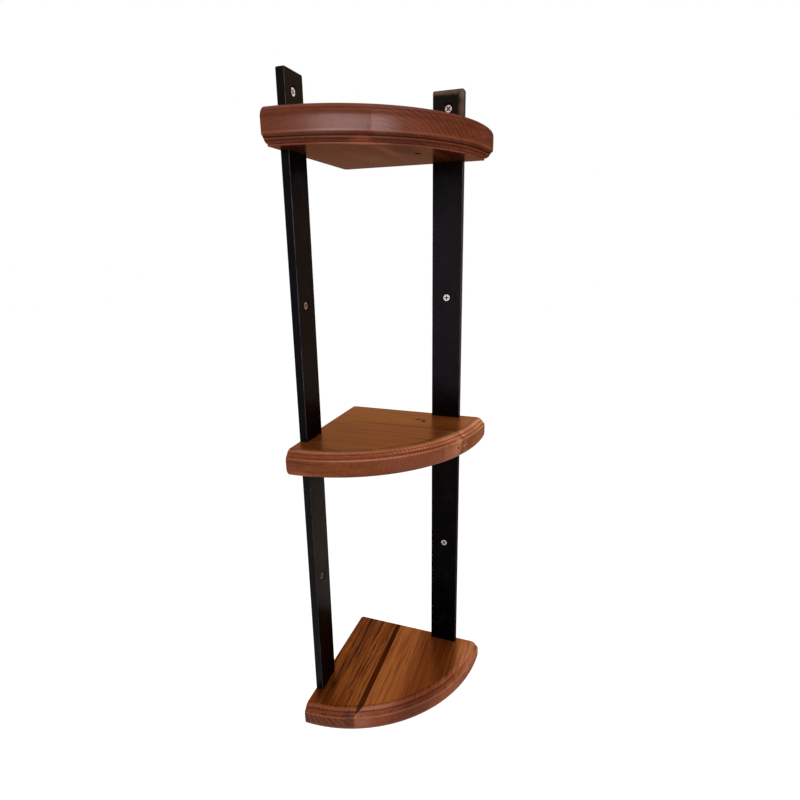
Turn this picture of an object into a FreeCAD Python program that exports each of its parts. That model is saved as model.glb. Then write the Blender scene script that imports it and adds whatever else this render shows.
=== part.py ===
"""Corner shelf: three quarter-round shelves let in to two flat bars that stand against two walls.

Frame, in millimetres: the origin is on the line where the two walls meet, level with the
underside of the bottom shelf. +X runs along the right-hand wall, -Y along the left-hand wall,
out of the corner, and +Z is up. The left wall is the plane x = 0 and the right wall y = 0.
"""
import FreeCAD
import Part
import math
import os

# Shelves
SHELF_RADIUS = 195.0        # from the corner to the outer edge
SHELF_THICK = 33.0          # bottom and middle shelf
TOP_SHELF_THICK = 36.5
CORNER_ROUND = 4.0          # rounding of the corner that points into the room's corner
LOWER_BAY = 332.0           # clear height between the bottom and the middle shelf
UPPER_BAY = 325.0           # clear height between the middle and the top shelf

# Moulded edge: a step, a bead, a quirk, a ledge, a cove and a rounded lip
OGEE_RUN = 12.5             # how far the moulding reaches in from the outer edge
OGEE_DROP = 7.2             # from the foot of the step to the bottom of the cove
FACE_STEP = 0.4             # step at the shelf's face, bottom and middle shelf
TOP_FACE_STEP = 2.0         # the same on the top shelf, which is moulded deeper
BEAD_RUN = 5.8
BEAD_DROP = 3.4
QUIRK_STEP = 0.8
LEDGE_RUN = 0.8
LIP_ROUND = 2.0
MOULDING_END = 14.0         # from each wall to where the cutter starts to leave the edge
RUN_OUT_RADIUS = 40.0       # of the curve on which it leaves
EDGE_ROUND = 12.0           # round-over on the plain edge, and at the ends of the moulded one

# Board joints, each by its two ends
TOP_JOINT_BACK = 112.0      # x on the right wall
TOP_JOINT_FRONT = 104.0     # x at the front edge
MIDDLE_JOINT_LEFT = 68.0    # distance from the right wall, at the left wall
MIDDLE_JOINT_RIGHT = 64.0   # the same at the right-hand end
BOTTOM_JOINT_BACK = 61.0    # x on the right wall
BOTTOM_JOINT_FRONT = 67.5   # x at the front edge
FILL_WIDTH = 8.0            # dark fill along the bottom shelf's joint
FILL_DEPTH = 7.0

# Bars
BAR_WIDTH = 38.0
BAR_THICK = 10.0
BAR_INSET = 122.5           # from the corner to the bar's nearer edge
BAR_RISE = 42.0             # above the top shelf
BAR_CORNER = 2.0            # rounding of the bar's corners, seen from the front
BAR_EASE = 0.7              # eased edges all round
NOTCH_CLEARANCE = 0.2       # each side of the bar in its notch

# Screws
HEAD_DIAMETER = 8.4
HEAD_RIM = 0.3
SHANK_DIAMETER = 3.1        # plain part, which ends where the bar ends
THREAD_DIAMETER = 4.2
TIP_LENGTH = 3.5
WALL_SCREW_LENGTH = 16.0
SHELF_SCREW_LENGTH = 32.0
WALL_COUNTERSINK = 12.0     # diameter at the bar's front face
SHELF_COUNTERSINK = 9.4     # diameter at the bar's back face
HOLE_CLEARANCE = 0.15       # radial, round a thread that passes through a bar
PILOT_CLEARANCE = 0.05      # radial, round a thread in the wood
SEAT_CLEARANCE = 0.03       # under a screw head, along the screw
SHELF_SCREW_SPACING = 20.0
TOP_SCREW_DROP = 20.0       # below the top of the bar
MIDDLE_SCREW_RISE = 161.5   # above the middle shelf
BOTTOM_SCREW_RISE = 168.5   # above the bottom shelf

# Cross recess in a screw head
RECESS_SPAN = 4.8
RECESS_WIDTH = 1.1
RECESS_DEPTH = 1.7

# How far each wall screw was turned when it came tight, in degrees
LEFT_SCREW_TURNS = {"top": 20.0, "middle": 65.0, "bottom": 5.0}
RIGHT_SCREW_TURNS = {"top": 45.0, "middle": 0.0, "bottom": 30.0}
SHELF_SCREW_TURN = 15.0

OVERRUN = 2.0               # how far a cutting shape reaches past what it cuts

# Levels
BOTTOM_LEVEL = 0.0
MIDDLE_LEVEL = SHELF_THICK + LOWER_BAY
TOP_LEVEL = MIDDLE_LEVEL + SHELF_THICK + UPPER_BAY
BAR_TOP = TOP_LEVEL + TOP_SHELF_THICK + BAR_RISE
SHELF_LEVELS = {"bottom": BOTTOM_LEVEL, "middle": MIDDLE_LEVEL, "top": TOP_LEVEL}
THICKNESSES = {"bottom": SHELF_THICK, "middle": SHELF_THICK, "top": TOP_SHELF_THICK}
FACE_STEPS = {"bottom": FACE_STEP, "middle": FACE_STEP, "top": TOP_FACE_STEP}
WALL_SCREW_LEVELS = {
    "top": BAR_TOP - TOP_SCREW_DROP,
    "middle": MIDDLE_LEVEL + SHELF_THICK + MIDDLE_SCREW_RISE,
    "bottom": BOTTOM_LEVEL + SHELF_THICK + BOTTOM_SCREW_RISE,
}
BAR_CENTRE = BAR_INSET + BAR_WIDTH / 2
HEAD_RADIUS = HEAD_DIAMETER / 2
SHANK_RADIUS = SHANK_DIAMETER / 2
THREAD_RADIUS = THREAD_DIAMETER / 2
HOLE_RADIUS = THREAD_RADIUS + HOLE_CLEARANCE

X_AXIS = FreeCAD.Vector(1, 0, 0)
Y_AXIS = FreeCAD.Vector(0, 1, 0)
Z_AXIS = FreeCAD.Vector(0, 0, 1)
ORIGIN = FreeCAD.Vector(0, 0, 0)


def point(x, z):
    """A point of an outline in the plane y = 0."""
    return FreeCAD.Vector(x, 0, z)


def line(start, end):
    """A straight edge."""
    return Part.LineSegment(start, end).toShape()


def level_arc(level_end, other_end):
    """An arc under a quarter turn that is level at level_end, in the plane y = 0.

    It is a B-spline, so that the face swept from it stays closed where a joint crosses it.
    """
    run = other_end.x - level_end.x
    rise = other_end.z - level_end.z
    radius = (run ** 2 + rise ** 2) / (2 * rise)
    half_turn = math.asin(run / abs(radius)) / 2
    middle = point(
        level_end.x + abs(radius) * math.sin(half_turn),
        level_end.z + radius * (1 - math.cos(half_turn)),
    )
    return Part.Arc(level_end, middle, other_end).toBSpline().toShape()


def round_over(on_face, on_wall):
    """The quarter circle of a rounded edge, in the plane y = 0."""
    centre = point(on_face.x, on_wall.z)
    outward = point(on_wall.x - centre.x, on_face.z - centre.z).normalize()
    return Part.Arc(on_wall, centre + outward * EDGE_ROUND, on_face).toShape()


def plain_section(thickness):
    """Half section of a shelf in the plane y = 0, rounded over at the top and underneath."""
    edge = SHELF_RADIUS
    face_end = point(edge - EDGE_ROUND, thickness)
    upper_wall = point(edge, thickness - EDGE_ROUND)
    lower_wall = point(edge, EDGE_ROUND)
    round_end = point(edge - EDGE_ROUND, 0)
    outline = Part.Wire(Part.__sortEdges__([
        line(ORIGIN, point(0, thickness)),
        line(point(0, thickness), face_end),
        round_over(face_end, upper_wall),
        line(upper_wall, lower_wall),
        round_over(round_end, lower_wall),
        line(round_end, ORIGIN),
    ]))
    return Part.Face(outline)


def cutter_section(thickness, step):
    """What the moulding takes off a shelf's upper edge, in the plane y = 0."""
    edge = SHELF_RADIUS
    face_end = point(edge - OGEE_RUN, thickness)
    bead_start = point(face_end.x, thickness - step)
    bead_end = point(bead_start.x + BEAD_RUN, bead_start.z - BEAD_DROP)
    ledge_start = point(bead_end.x, bead_end.z - QUIRK_STEP)
    cove_start = point(ledge_start.x + LEDGE_RUN, ledge_start.z)
    cove_end = point(edge - LIP_ROUND, bead_start.z - OGEE_DROP)
    lip_end = point(edge, cove_end.z - LIP_ROUND)
    outside = point(edge + OVERRUN, lip_end.z)
    above = point(outside.x, thickness + OVERRUN)
    outline = Part.Wire(Part.__sortEdges__([
        line(face_end, bead_start),
        level_arc(bead_start, bead_end),
        line(bead_end, ledge_start),
        line(ledge_start, cove_start),
        level_arc(cove_end, cove_start),
        level_arc(cove_end, lip_end),
        line(lip_end, outside),
        line(outside, above),
        line(above, point(face_end.x, above.z)),
        line(point(face_end.x, above.z), face_end),
    ]))
    return Part.Face(outline)


def moulding(thickness, step):
    """All that the cutter takes off: it follows the edge, and curves out of it before each wall."""
    start = math.degrees(MOULDING_END / SHELF_RADIUS)
    section = cutter_section(thickness, step)
    section.rotate(ORIGIN, Z_AXIS, -start)
    pivot = FreeCAD.Rotation(Z_AXIS, -start).multVec(X_AXIS * (SHELF_RADIUS + RUN_OUT_RADIUS))
    run_out_turn = math.degrees((MOULDING_END + 2 * OVERRUN) / RUN_OUT_RADIUS)
    run_out = section.revolve(pivot, Z_AXIS, -run_out_turn)
    along_edge = section.revolve(ORIGIN, Z_AXIS, 2 * start - 90)
    return along_edge.fuse([run_out, to_left_wall(run_out)])


def quarter_round(thickness, step):
    """A whole shelf with its underside at z = 0, before it is notched and divided."""
    blank = plain_section(thickness).revolve(ORIGIN, Z_AXIS, -90)
    solid = blank.cut(moulding(thickness, step)).Solids[0]
    at_corner = [
        edge for edge in solid.Edges
        if len(edge.Vertexes) == 2 and all(math.hypot(v.X, v.Y) < CORNER_ROUND for v in edge.Vertexes)
    ]
    return solid.makeFillet(CORNER_ROUND, at_corner)


def to_left_wall(shape):
    """The same shape at the left-hand bar: its mirror image in the corner's diagonal plane."""
    return shape.mirror(ORIGIN, X_AXIS + Y_AXIS)


def along_wall(distance, depth, height):
    """A place on the right-hand wall: distance from the corner, depth out of the wall, height."""
    return FreeCAD.Vector(distance, -depth, height)


def bar_blank():
    """The right-hand bar without its holes."""
    flat = Part.makeBox(BAR_WIDTH, BAR_THICK, BAR_TOP, along_wall(BAR_INSET, BAR_THICK, 0))
    corners = [edge for edge in flat.Edges if abs(edge.Vertexes[0].Y - edge.Vertexes[1].Y) > BAR_EASE]
    rounded = flat.makeFillet(BAR_CORNER, corners)
    face_edges = [
        edge for edge in rounded.Edges
        if abs(edge.Vertexes[0].Y - edge.Vertexes[-1].Y) < BAR_EASE
    ]
    return rounded.makeFillet(BAR_EASE, face_edges)


def screw_hole(mouth, inward, countersink, depth):
    """A countersunk hole: mouth is on the surface, inward points into the metal."""
    radius = countersink / 2
    start = mouth - inward * OVERRUN
    cone = Part.makeCone(radius + OVERRUN, HOLE_RADIUS, OVERRUN + radius - HOLE_RADIUS, start, inward)
    bore = Part.makeCylinder(HOLE_RADIUS, depth + 2 * OVERRUN, start, inward)
    return cone.fuse(bore)


def shelf_screw_places():
    """Where the shelf screws pass through the right-hand wall plane, by shelf."""
    places = {}
    for shelf, level in SHELF_LEVELS.items():
        for side, shift in (("inner", -SHELF_SCREW_SPACING / 2), ("outer", SHELF_SCREW_SPACING / 2)):
            places[shelf, side] = along_wall(BAR_CENTRE + shift, 0, level + THICKNESSES[shelf] / 2)
    return places


def right_bar():
    """The right-hand bar: wall screws go in from the front, shelf screws from the back."""
    bar = bar_blank()
    for level in WALL_SCREW_LEVELS.values():
        mouth = along_wall(BAR_CENTRE, BAR_THICK, level)
        bar = bar.cut(screw_hole(mouth, Y_AXIS, WALL_COUNTERSINK, BAR_THICK))
    for mouth in shelf_screw_places().values():
        bar = bar.cut(screw_hole(mouth, -Y_AXIS, SHELF_COUNTERSINK, BAR_THICK))
    return bar


def cross_recess():
    """Tool for a cross recess, pointing down from z = 0."""
    arms = [
        Part.makeBox(RECESS_SPAN, RECESS_WIDTH, RECESS_DEPTH + OVERRUN,
                     FreeCAD.Vector(-RECESS_SPAN / 2, -RECESS_WIDTH / 2, -RECESS_DEPTH)),
        Part.makeBox(RECESS_WIDTH, RECESS_SPAN, RECESS_DEPTH + OVERRUN,
                     FreeCAD.Vector(-RECESS_WIDTH / 2, -RECESS_SPAN / 2, -RECESS_DEPTH)),
    ]
    taper = (RECESS_SPAN - RECESS_WIDTH) / 2 / RECESS_DEPTH
    mouth_radius = RECESS_SPAN / 2 + OVERRUN * taper
    point_cone = Part.makeCone(RECESS_WIDTH / 2, mouth_radius, RECESS_DEPTH + OVERRUN,
                               FreeCAD.Vector(0, 0, -RECESS_DEPTH))
    return arms[0].fuse(arms[1]).common(point_cone)


def screw(length, plain_length):
    """A countersunk screw that points down from its head at z = 0, plain for plain_length."""
    cone_end = HEAD_RIM + HEAD_RADIUS - SHANK_RADIUS
    outline = Part.makePolygon([
        ORIGIN,
        point(HEAD_RADIUS, 0),
        point(HEAD_RADIUS, -HEAD_RIM),
        point(SHANK_RADIUS, -cone_end),
        point(SHANK_RADIUS, -plain_length),
        point(THREAD_RADIUS, -plain_length),
        point(THREAD_RADIUS, TIP_LENGTH - length),
        point(0, -length),
        ORIGIN,
    ])
    return Part.Face(outline).revolve(ORIGIN, Z_AXIS, 360).cut(cross_recess())


def sunk_depth(countersink):
    """How far below the surface a head's flat top lies in a countersink, with its seat clearance."""
    return countersink / 2 - HEAD_RADIUS - HEAD_RIM - SEAT_CLEARANCE


def drive(shape, turn, mouth, inward, depth):
    """Turn a screw about its axis and put it in a hole, depth below the hole's mouth."""
    placed = shape.copy()
    placed.rotate(ORIGIN, Z_AXIS, turn)
    placed.Placement = FreeCAD.Placement(
        mouth + inward * depth, FreeCAD.Rotation(-Z_AXIS, inward)
    ).multiply(placed.Placement)
    return placed


def wall_screw(turn, level):
    """A wall screw in the right-hand bar. Its thread starts at the bar's back."""
    depth = sunk_depth(WALL_COUNTERSINK)
    shape = screw(WALL_SCREW_LENGTH, BAR_THICK - depth)
    return drive(shape, turn, along_wall(BAR_CENTRE, BAR_THICK, level), Y_AXIS, depth)


def shelf_screw(mouth):
    """A shelf screw that goes through the right-hand bar from behind, into the shelf."""
    depth = sunk_depth(SHELF_COUNTERSINK)
    shape = screw(SHELF_SCREW_LENGTH, BAR_THICK - depth)
    return drive(shape, SHELF_SCREW_TURN, mouth, -Y_AXIS, depth)


def pilot_hole(mouth):
    """The hole that a shelf screw has made in the wood, seen from the right-hand wall."""
    radius = THREAD_RADIUS + PILOT_CLEARANCE
    reach = sunk_depth(SHELF_COUNTERSINK) + SHELF_SCREW_LENGTH - TIP_LENGTH
    shank = Part.makeCylinder(radius, reach, mouth, -Y_AXIS)
    tip = Part.makeCone(radius, 0, TIP_LENGTH + PILOT_CLEARANCE, mouth - Y_AXIS * reach, -Y_AXIS)
    return shank.fuse(tip)


def notch(thickness):
    """What the right-hand bar takes out of a shelf."""
    width = BAR_WIDTH + 2 * NOTCH_CLEARANCE
    corner = along_wall(BAR_INSET - NOTCH_CLEARANCE, BAR_THICK, -OVERRUN)
    return Part.makeBox(width, BAR_THICK + OVERRUN, thickness + 2 * OVERRUN, corner)


def shelf(name):
    """A whole shelf at its level, notched and drilled. The top shelf is the other way up."""
    thickness = THICKNESSES[name]
    solid = quarter_round(thickness, FACE_STEPS[name])
    if name == "top":
        solid = solid.mirror(FreeCAD.Vector(0, 0, thickness / 2), Z_AXIS)
    solid = solid.cut(notch(thickness)).cut(to_left_wall(notch(thickness)))
    solid.translate(Z_AXIS * SHELF_LEVELS[name])
    for (shelf_name, _), mouth in shelf_screw_places().items():
        if shelf_name == name:
            hole = pilot_hole(mouth)
            solid = solid.cut(hole).cut(to_left_wall(hole))
    return solid


def one_side(start, end):
    """Everything on the left of the line from start to end, seen from above, over the full height."""
    reach = 2 * SHELF_RADIUS
    along = (end - start).normalize()
    left = Z_AXIS.cross(along)
    near = start - along * reach
    far = end + along * reach
    base = Part.makePolygon([near, far, far + left * reach, near + left * reach, near])
    block = Part.Face(base).extrude(Z_AXIS * (BAR_TOP + 2 * OVERRUN))
    block.translate(Z_AXIS * -OVERRUN)
    return block


def fill_wedge(start, end):
    """The triangular strip of dark fill along a joint, open at the shelf's top."""
    along = (end - start).normalize()
    right = along.cross(Z_AXIS)
    top = start - along * SHELF_RADIUS + Z_AXIS * SHELF_THICK
    slope = FILL_WIDTH / FILL_DEPTH
    triangle = Part.makePolygon([
        top + Z_AXIS * OVERRUN,
        top + Z_AXIS * OVERRUN + right * (FILL_WIDTH + OVERRUN * slope),
        top - Z_AXIS * FILL_DEPTH,
        top + Z_AXIS * OVERRUN,
    ])
    return Part.Face(triangle).extrude(along * ((end - start).Length + 2 * SHELF_RADIUS))


def glued_boards():
    """The shelves, divided into the boards that they are glued up from."""
    front = -SHELF_RADIUS
    top, middle, bottom = shelf("top"), shelf("middle"), shelf("bottom")
    left_of_top = one_side(FreeCAD.Vector(TOP_JOINT_FRONT, front, 0), FreeCAD.Vector(TOP_JOINT_BACK, 0, 0))
    behind_middle = one_side(
        FreeCAD.Vector(0, -MIDDLE_JOINT_LEFT, 0), FreeCAD.Vector(SHELF_RADIUS, -MIDDLE_JOINT_RIGHT, 0)
    )
    joint_front = FreeCAD.Vector(BOTTOM_JOINT_FRONT, front, 0)
    joint_back = FreeCAD.Vector(BOTTOM_JOINT_BACK, 0, 0)
    left_of_bottom = one_side(joint_front, joint_back)
    wedge = fill_wedge(joint_front, joint_back)
    return {
        "top_shelf_left_board": top.common(left_of_top),
        "top_shelf_right_board": top.cut(left_of_top),
        "middle_shelf_back_board": middle.common(behind_middle),
        "middle_shelf_front_board": middle.cut(behind_middle),
        "bottom_shelf_left_board": bottom.common(left_of_bottom),
        "bottom_shelf_right_board": bottom.cut(left_of_bottom).cut(wedge),
        "bottom_shelf_dark_fill": bottom.cut(left_of_bottom).common(wedge),
    }


def bars():
    """Both bars."""
    bar = right_bar()
    return {"right_bar": bar, "left_bar": to_left_wall(bar)}


def wall_screws():
    """The six screws that show, three in each bar."""
    pieces = {}
    for name, level in WALL_SCREW_LEVELS.items():
        pieces[f"right_wall_screw_{name}"] = wall_screw(RIGHT_SCREW_TURNS[name], level)
        pieces[f"left_wall_screw_{name}"] = to_left_wall(wall_screw(LEFT_SCREW_TURNS[name], level))
    return pieces


def shelf_screws():
    """The hidden screws, two at each crossing of a bar and a shelf."""
    pieces = {}
    for (name, side), mouth in shelf_screw_places().items():
        piece = shelf_screw(mouth)
        pieces[f"{name}_shelf_right_{side}_screw"] = piece
        pieces[f"{name}_shelf_left_{side}_screw"] = to_left_wall(piece)
    return pieces


def main():
    """Make every piece and write it to its own file."""
    os.makedirs("parts", exist_ok=True)
    pieces = {**glued_boards(), **bars(), **wall_screws(), **shelf_screws()}
    for name, shape in pieces.items():
        solid = shape.Solids[0]
        print(f"{name}: {len(shape.Solids)} solid, {solid.Volume:.0f} mm3, valid {solid.isValid()}")
        shape.exportStep(f"parts/{name}.step")


main()
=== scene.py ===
"""Corner shelf: camera, soft studio light, wood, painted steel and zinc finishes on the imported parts."""

import logging
import math
from dataclasses import dataclass, field
from enum import Enum
from typing import Optional, Union

import bpy
from mathutils import Matrix, Vector


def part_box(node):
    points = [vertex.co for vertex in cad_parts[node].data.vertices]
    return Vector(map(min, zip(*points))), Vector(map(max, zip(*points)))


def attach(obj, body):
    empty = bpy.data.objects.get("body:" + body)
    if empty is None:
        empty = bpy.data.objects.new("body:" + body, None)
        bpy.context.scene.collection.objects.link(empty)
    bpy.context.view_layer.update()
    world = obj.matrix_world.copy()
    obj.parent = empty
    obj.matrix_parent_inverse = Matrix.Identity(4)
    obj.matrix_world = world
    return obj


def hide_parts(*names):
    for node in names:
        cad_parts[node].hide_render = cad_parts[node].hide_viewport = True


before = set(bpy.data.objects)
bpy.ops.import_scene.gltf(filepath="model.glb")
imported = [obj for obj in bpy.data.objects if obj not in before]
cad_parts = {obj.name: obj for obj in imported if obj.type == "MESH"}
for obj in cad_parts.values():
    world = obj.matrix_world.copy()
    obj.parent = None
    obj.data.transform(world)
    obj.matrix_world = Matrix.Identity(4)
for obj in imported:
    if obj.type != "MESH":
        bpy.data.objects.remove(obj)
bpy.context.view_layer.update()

log = logging.getLogger("corner_shelf")

Pair = tuple[float, float]
Triple = tuple[float, float, float]
Span = tuple[float, float, float, float]
Stops = tuple[tuple[float, Triple], ...]
Socket = bpy.types.NodeSocket
Value = Union[Socket, float, Triple]

MM = 0.001
NOISE_MIDDLE = 0.5
NOISE_CENTRE: Triple = (NOISE_MIDDLE, NOISE_MIDDLE, NOISE_MIDDLE)
NO_COLOUR: Triple = (0.0, 0.0, 0.0)

SCREEN_TOP = 255.0
SCREEN_TOE = 0.04045
TOE_SLOPE = 12.92
SCREEN_LIFT = 0.055
SCREEN_GAMMA = 2.4


def tint(red: float, green: float, blue: float) -> Triple:
    """Turn a colour on the usual 0 to 255 screen scale into scene-linear values.

    Args:
        red: red level.
        green: green level.
        blue: blue level.

    Returns:
        The three linear values.
    """
    def straight(level: float) -> float:
        """Linear value of one screen level.

        Args:
            level: the screen level.

        Returns:
            The linear value.
        """
        part = level / SCREEN_TOP
        if part <= SCREEN_TOE:
            return part / TOE_SLOPE
        return ((part + SCREEN_LIFT) / (1 + SCREEN_LIFT)) ** SCREEN_GAMMA

    return straight(red), straight(green), straight(blue)


class Bench:
    """Adds and joins shader nodes in one node tree."""

    def __init__(self, tree: bpy.types.NodeTree) -> None:
        """Keep the tree that the nodes go into."""
        self.tree = tree

    def put(self, kind: str, **settings: object) -> bpy.types.Node:
        """Add one node.

        Args:
            kind: the node's type name after "ShaderNode".
            settings: attributes set on the node.

        Returns:
            The new node.
        """
        node = self.tree.nodes.new("ShaderNode" + kind)
        for name, value in settings.items():
            setattr(node, name, value)
        return node

    def feed(self, socket: Socket, value: Value) -> None:
        """Link a socket to another, or set its own value.

        Args:
            socket: the input socket.
            value: an output socket, a number or three numbers.
        """
        if isinstance(value, bpy.types.NodeSocket):
            self.tree.links.new(value, socket)
        elif isinstance(value, tuple) and socket.type == "RGBA":
            socket.default_value = (*value, 1.0)
        else:
            socket.default_value = value

    def feed_all(self, node: bpy.types.Node, **values: Value) -> None:
        """Feed several inputs of a node by name, with _ for a space."""
        for name, value in values.items():
            self.feed(node.inputs[name.replace("_", " ")], value)

    def sums(self, operation: str, *values: Value, clamp: bool = False) -> Socket:
        """One step of arithmetic on numbers.

        Args:
            operation: the Math node's operation.
            values: one to three numbers.
            clamp: whether the result is held between 0 and 1.

        Returns:
            The result.
        """
        node = self.put("Math", operation=operation, use_clamp=clamp)
        for socket, value in zip(node.inputs, values):
            self.feed(socket, value)
        return node.outputs[0]

    def times(self, a: Value, b: Value) -> Socket:
        """Product of two numbers."""
        return self.sums("MULTIPLY", a, b)

    def fused(self, a: Value, b: Value, c: Value, clamp: bool = False) -> Socket:
        """First number times the second, plus the third."""
        return self.sums("MULTIPLY_ADD", a, b, c, clamp=clamp)

    def swing(self, noise: Value) -> Socket:
        """A noise less its middle, so that it swings about zero."""
        return self.sums("SUBTRACT", noise, NOISE_MIDDLE)

    def dimmed(self, value: Value, mask: Value, loss: float) -> Socket:
        """A value that loses a share of itself where the mask is 1."""
        return self.times(value, self.fused(mask, -loss, 1.0))

    def vectors(self, operation: str, a: Value, b: Value = (0.0, 0.0, 0.0)) -> Socket:
        """One step of arithmetic on vectors.

        Args:
            operation: the Vector Math node's operation.
            a: first vector.
            b: second vector, or the factor of SCALE.

        Returns:
            The resulting vector, or the number of LENGTH and DOT_PRODUCT.
        """
        node = self.put("VectorMath", operation=operation)
        self.feed(node.inputs[0], a)
        self.feed(node.inputs["Scale" if operation == "SCALE" else 1], b)
        return node.outputs["Value" if operation in ("LENGTH", "DOT_PRODUCT") else "Vector"]

    def facing(self, direction: Triple) -> Socket:
        """How squarely the surface looks along a direction, either way, from 0 to 1."""
        return self.sums("ABSOLUTE", self.vectors("DOT_PRODUCT", self.coords("Normal"), direction))

    def push(self, noise_colour: Value, amount: Value) -> Socket:
        """A shift by up to half an amount each way, taken from a noise's colour."""
        return self.vectors("SCALE", self.vectors("SUBTRACT", noise_colour, NOISE_CENTRE), amount)

    def split(self, vector: Value) -> tuple[Socket, ...]:
        """Take a vector apart.

        Args:
            vector: the vector.

        Returns:
            Its X, Y and Z.
        """
        node = self.put("SeparateXYZ")
        self.feed(node.inputs[0], vector)
        return tuple(node.outputs)

    def coords(self, kind: str) -> Socket:
        """One output of the Texture Coordinate node."""
        return self.put("TexCoord").outputs[kind]

    def millimetres(self, turn: float = 0.0, drop: float = 0.0) -> Socket:
        """The place on the object in millimetres.

        Args:
            turn: turn about Z, in radians.
            drop: height that counts as zero.

        Returns:
            The place.
        """
        node = self.put("Mapping")
        self.feed_all(
            node, Vector=self.coords("Object"), Location=(0.0, 0.0, -drop), Rotation=(0.0, 0.0, turn),
            Scale=(1 / MM, 1 / MM, 1 / MM))
        return node.outputs[0]

    def spread(
            self, value: Value, low: Value, high: Value, to_low: float = 0.0, to_high: float = 1.0) -> Socket:
        """Map a range smoothly onto another, held at both ends.

        Args:
            value: the number.
            low: start of the range.
            high: end of the range.
            to_low: result at the start.
            to_high: result at the end.

        Returns:
            The mapped number.
        """
        node = self.put("MapRange", interpolation_type="SMOOTHSTEP")
        for socket, number in zip(node.inputs, (value, low, high, to_low, to_high)):
            self.feed(socket, number)
        return node.outputs[0]

    def blend(self, share: Value, first: Value, second: Value, mode: str = "MIX") -> Socket:
        """Mix two colours.

        Args:
            share: how much of the second.
            first: first colour.
            second: second colour.
            mode: blend mode.

        Returns:
            The mixed colour.
        """
        node = self.put("Mix", data_type="RGBA", blend_type=mode)
        factor, colour_a, colour_b = node.inputs[0], node.inputs[6], node.inputs[7]
        for socket, value in ((factor, share), (colour_a, first), (colour_b, second)):
            self.feed(socket, value)
        return node.outputs[2]

    def ramp(self, value: Value, stops: Stops) -> Socket:
        """Colour ramp.

        Args:
            value: place on the ramp, 0 to 1.
            stops: pairs of place and linear colour.

        Returns:
            The colour.
        """
        node = self.put("ValToRGB")
        scale = node.color_ramp
        while len(scale.elements) < len(stops):
            scale.elements.new(0.5)
        for element, (place, colour) in zip(scale.elements, sorted(stops)):
            element.position = place
            element.color = (*colour, 1.0)
        self.feed(node.inputs[0], value)
        return node.outputs[0]

    def group(self, shared: bpy.types.NodeTree, **inputs: Value) -> bpy.types.NodeOutputs:
        """Place a shared group with its own values.

        Args:
            shared: the group's tree.
            inputs: values by socket name, with _ for a space.

        Returns:
            The outputs of the Group node.
        """
        node = self.put("Group")
        node.node_tree = shared
        self.feed_all(node, **inputs)
        return node.outputs

    def emboss(self, shader: bpy.types.Node, height: Value, strength: float, distance: float) -> None:
        """Feed a shader's Normal with a bump.

        Args:
            shader: the shader.
            height: height of the relief, about 0 to 1.
            strength: strength of the bump.
            distance: depth of the relief in metres.
        """
        node = self.put("Bump")
        self.feed_all(node, Height=height, Strength=strength, Distance=distance)
        self.feed(shader.inputs["Normal"], node.outputs[0])


@dataclass(frozen=True)
class Noise:
    """How one noise is scaled, layered and stretched."""

    scale: float = 1.0
    detail: float = 2.0
    rough: float = 0.5
    twist: float = 0.0
    stretch: Optional[Triple] = None

    def read(self, bench: Bench, place: Value, scale: Optional[Value] = None) -> bpy.types.NodeOutputs:
        """Read the noise.

        Args:
            bench: where the nodes are made.
            place: where it is read.
            scale: a scale in place of its own.

        Returns:
            The outputs Fac and Color.
        """
        if self.stretch:
            place = bench.vectors("MULTIPLY", place, self.stretch)
        node = bench.put("TexNoise")
        bench.feed_all(
            node, Vector=place, Scale=self.scale if scale is None else scale, Detail=self.detail,
            Roughness=self.rough, Distortion=self.twist)
        return node.outputs


def new_finish(name: str) -> tuple[bpy.types.Material, Bench, bpy.types.Node]:
    """Start a material.

    Args:
        name: its name.

    Returns:
        The material, a bench for its nodes, and its shader.
    """
    material = bpy.data.materials.new(name)
    material.use_nodes = True
    return material, Bench(material.node_tree), material.node_tree.nodes["Principled BSDF"]


class SharedGroup:
    """Base of the shader groups that several finishes use. Each is built once."""

    title = ""
    inputs: tuple[tuple[str, str], ...] = ()
    outputs: tuple[tuple[str, str], ...] = ()
    built: dict[str, bpy.types.NodeTree] = {}

    @classmethod
    def tree(cls) -> bpy.types.NodeTree:
        """Give the group's tree, built at its first use.

        Returns:
            The tree.
        """
        if cls.title not in SharedGroup.built:
            tree = bpy.data.node_groups.new(cls.title, "ShaderNodeTree")
            for way, sockets in (("INPUT", cls.inputs), ("OUTPUT", cls.outputs)):
                for name, kind in sockets:
                    tree.interface.new_socket(name=name, in_out=way, socket_type="NodeSocket" + kind)
            bench = Bench(tree)
            given = tree.nodes.new("NodeGroupInput")
            result = tree.nodes.new("NodeGroupOutput")
            for name, value in cls.wire(bench, given.outputs).items():
                bench.feed(result.inputs[name], value)
            SharedGroup.built[cls.title] = tree
        return SharedGroup.built[cls.title]

    @classmethod
    def wire(cls, bench: Bench, given: bpy.types.NodeOutputs) -> dict[str, Value]:
        """Make the nodes inside.

        Args:
            bench: where they are made.
            given: the group's input sockets.

        Returns:
            The values of the output sockets by name.
        """
        raise NotImplementedError


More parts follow.
